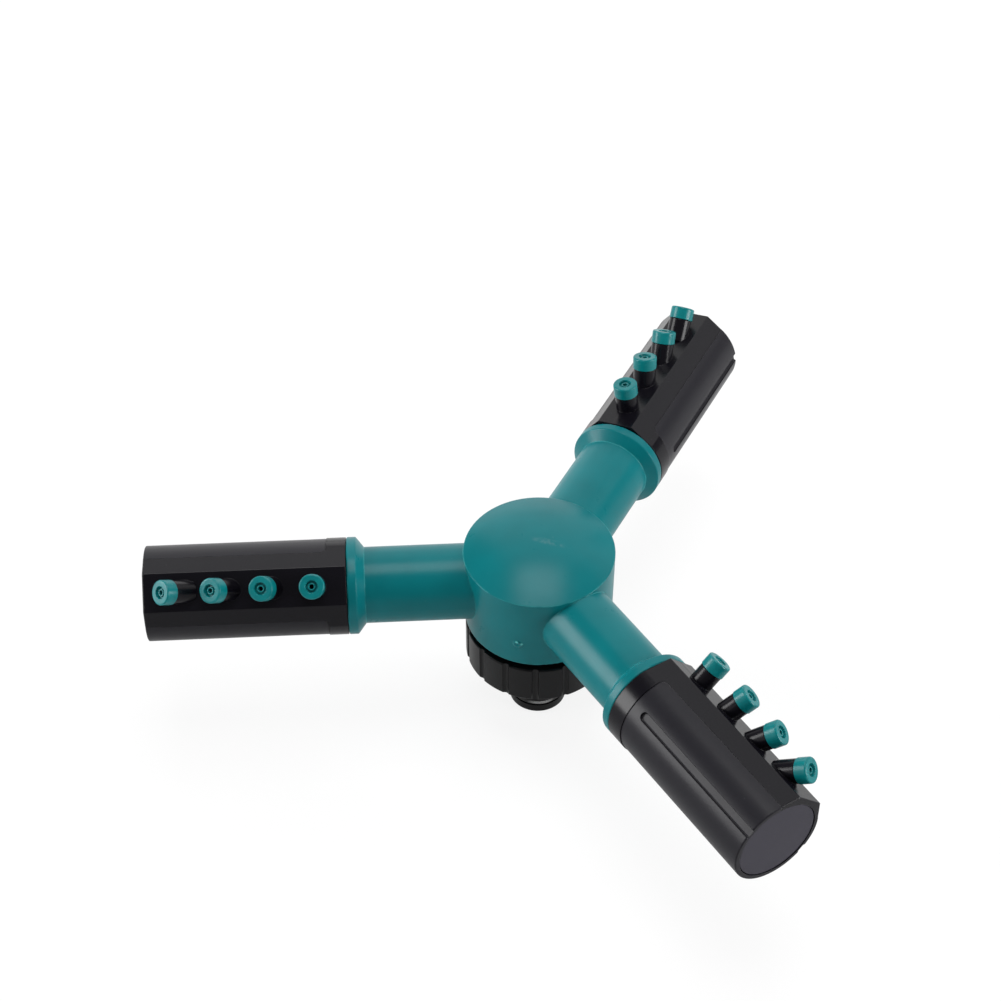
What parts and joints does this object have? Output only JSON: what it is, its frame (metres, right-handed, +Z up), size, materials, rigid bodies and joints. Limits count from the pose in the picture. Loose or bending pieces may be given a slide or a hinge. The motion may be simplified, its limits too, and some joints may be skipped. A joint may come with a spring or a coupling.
{
  "type": "rotary sprinkler",
  "caption": "Rotary lawn sprinkler: a domed hub spins on a hose nipple and carries level arms, each ending in a swivelling spray head with a row of tilted nozzles.",
  "frame": {"origin": "centre of the connector's underside, where the hose nipple leaves it", "axes": "+Z up along the spindle, away from the nipple; the left arm points along -X"},
  "size_m": [0.1637, 0.1888, 0.0658],
  "materials": {
    "teal_moulding": "satin teal ABS",
    "nozzle_teal": "satin teal, slightly brighter",
    "black_gloss": "semi-gloss black ABS",
    "black_satin": "satin black, fine texture",
    "black_moulding": "satin black polypropylene",
    "acetal": "dark acetal",
    "seal_rubber": "matt rubber",
    "clip_steel": "stainless spring steel"
  },
  "bodies": {
    "base": {"quick_connector": "black_moulding", "nipple_o_ring": "seal_rubber", "inlet_washer": "seal_rubber", "spindle": "black_moulding", "spindle_clip": "clip_steel"},
    "rotor": {"hub_body": "teal_moulding", "bearing_bush": "acetal", "spindle_seal": "seal_rubber", "thrust_washer": "clip_steel", "spigot_o_ring_left": "seal_rubber", "retaining_ring_left": "clip_steel", "spigot_o_ring_front": "seal_rubber", "retaining_ring_front": "clip_steel", "spigot_o_ring_rear": "seal_rubber", "retaining_ring_rear": "clip_steel"},
    "head_left": {"head_body_left": "black_gloss", "grip_sleeve_left": "black_satin", "end_cap_left": "black_satin", "nozzle_cap_left_1": "nozzle_teal", "nozzle_cap_left_2": "nozzle_teal", "nozzle_cap_left_3": "nozzle_teal", "nozzle_cap_left_4": "nozzle_teal"},
    "head_front": {"head_body_front": "black_gloss", "grip_sleeve_front": "black_satin", "end_cap_front": "black_satin", "nozzle_cap_front_1": "nozzle_teal", "nozzle_cap_front_2": "nozzle_teal", "nozzle_cap_front_3": "nozzle_teal", "nozzle_cap_front_4": "nozzle_teal"},
    "head_rear": {"head_body_rear": "black_gloss", "grip_sleeve_rear": "black_satin", "end_cap_rear": "black_satin", "nozzle_cap_rear_1": "nozzle_teal", "nozzle_cap_rear_2": "nozzle_teal", "nozzle_cap_rear_3": "nozzle_teal", "nozzle_cap_rear_4": "nozzle_teal"}
  },
  "joints": [
    {"name": "rotor_spin", "type": "hinge", "parent": "base", "child": "rotor", "pos_m": [0, 0, 0], "axis": [0, 0, 1], "continuous": true},
    {"name": "left_head_swivel", "type": "hinge", "parent": "rotor", "child": "head_left", "pos_m": [0, 0, 0.0264], "axis": [-1, 0, 0], "continuous": true},
    {"name": "front_head_swivel", "type": "hinge", "parent": "rotor", "child": "head_front", "pos_m": [0, 0, 0.0264], "axis": [0.5, -0.866, 0], "continuous": true},
    {"name": "rear_head_swivel", "type": "hinge", "parent": "rotor", "child": "head_rear", "pos_m": [0, 0, 0.0264], "axis": [0.5, 0.866, 0], "continuous": true}
  ]
}
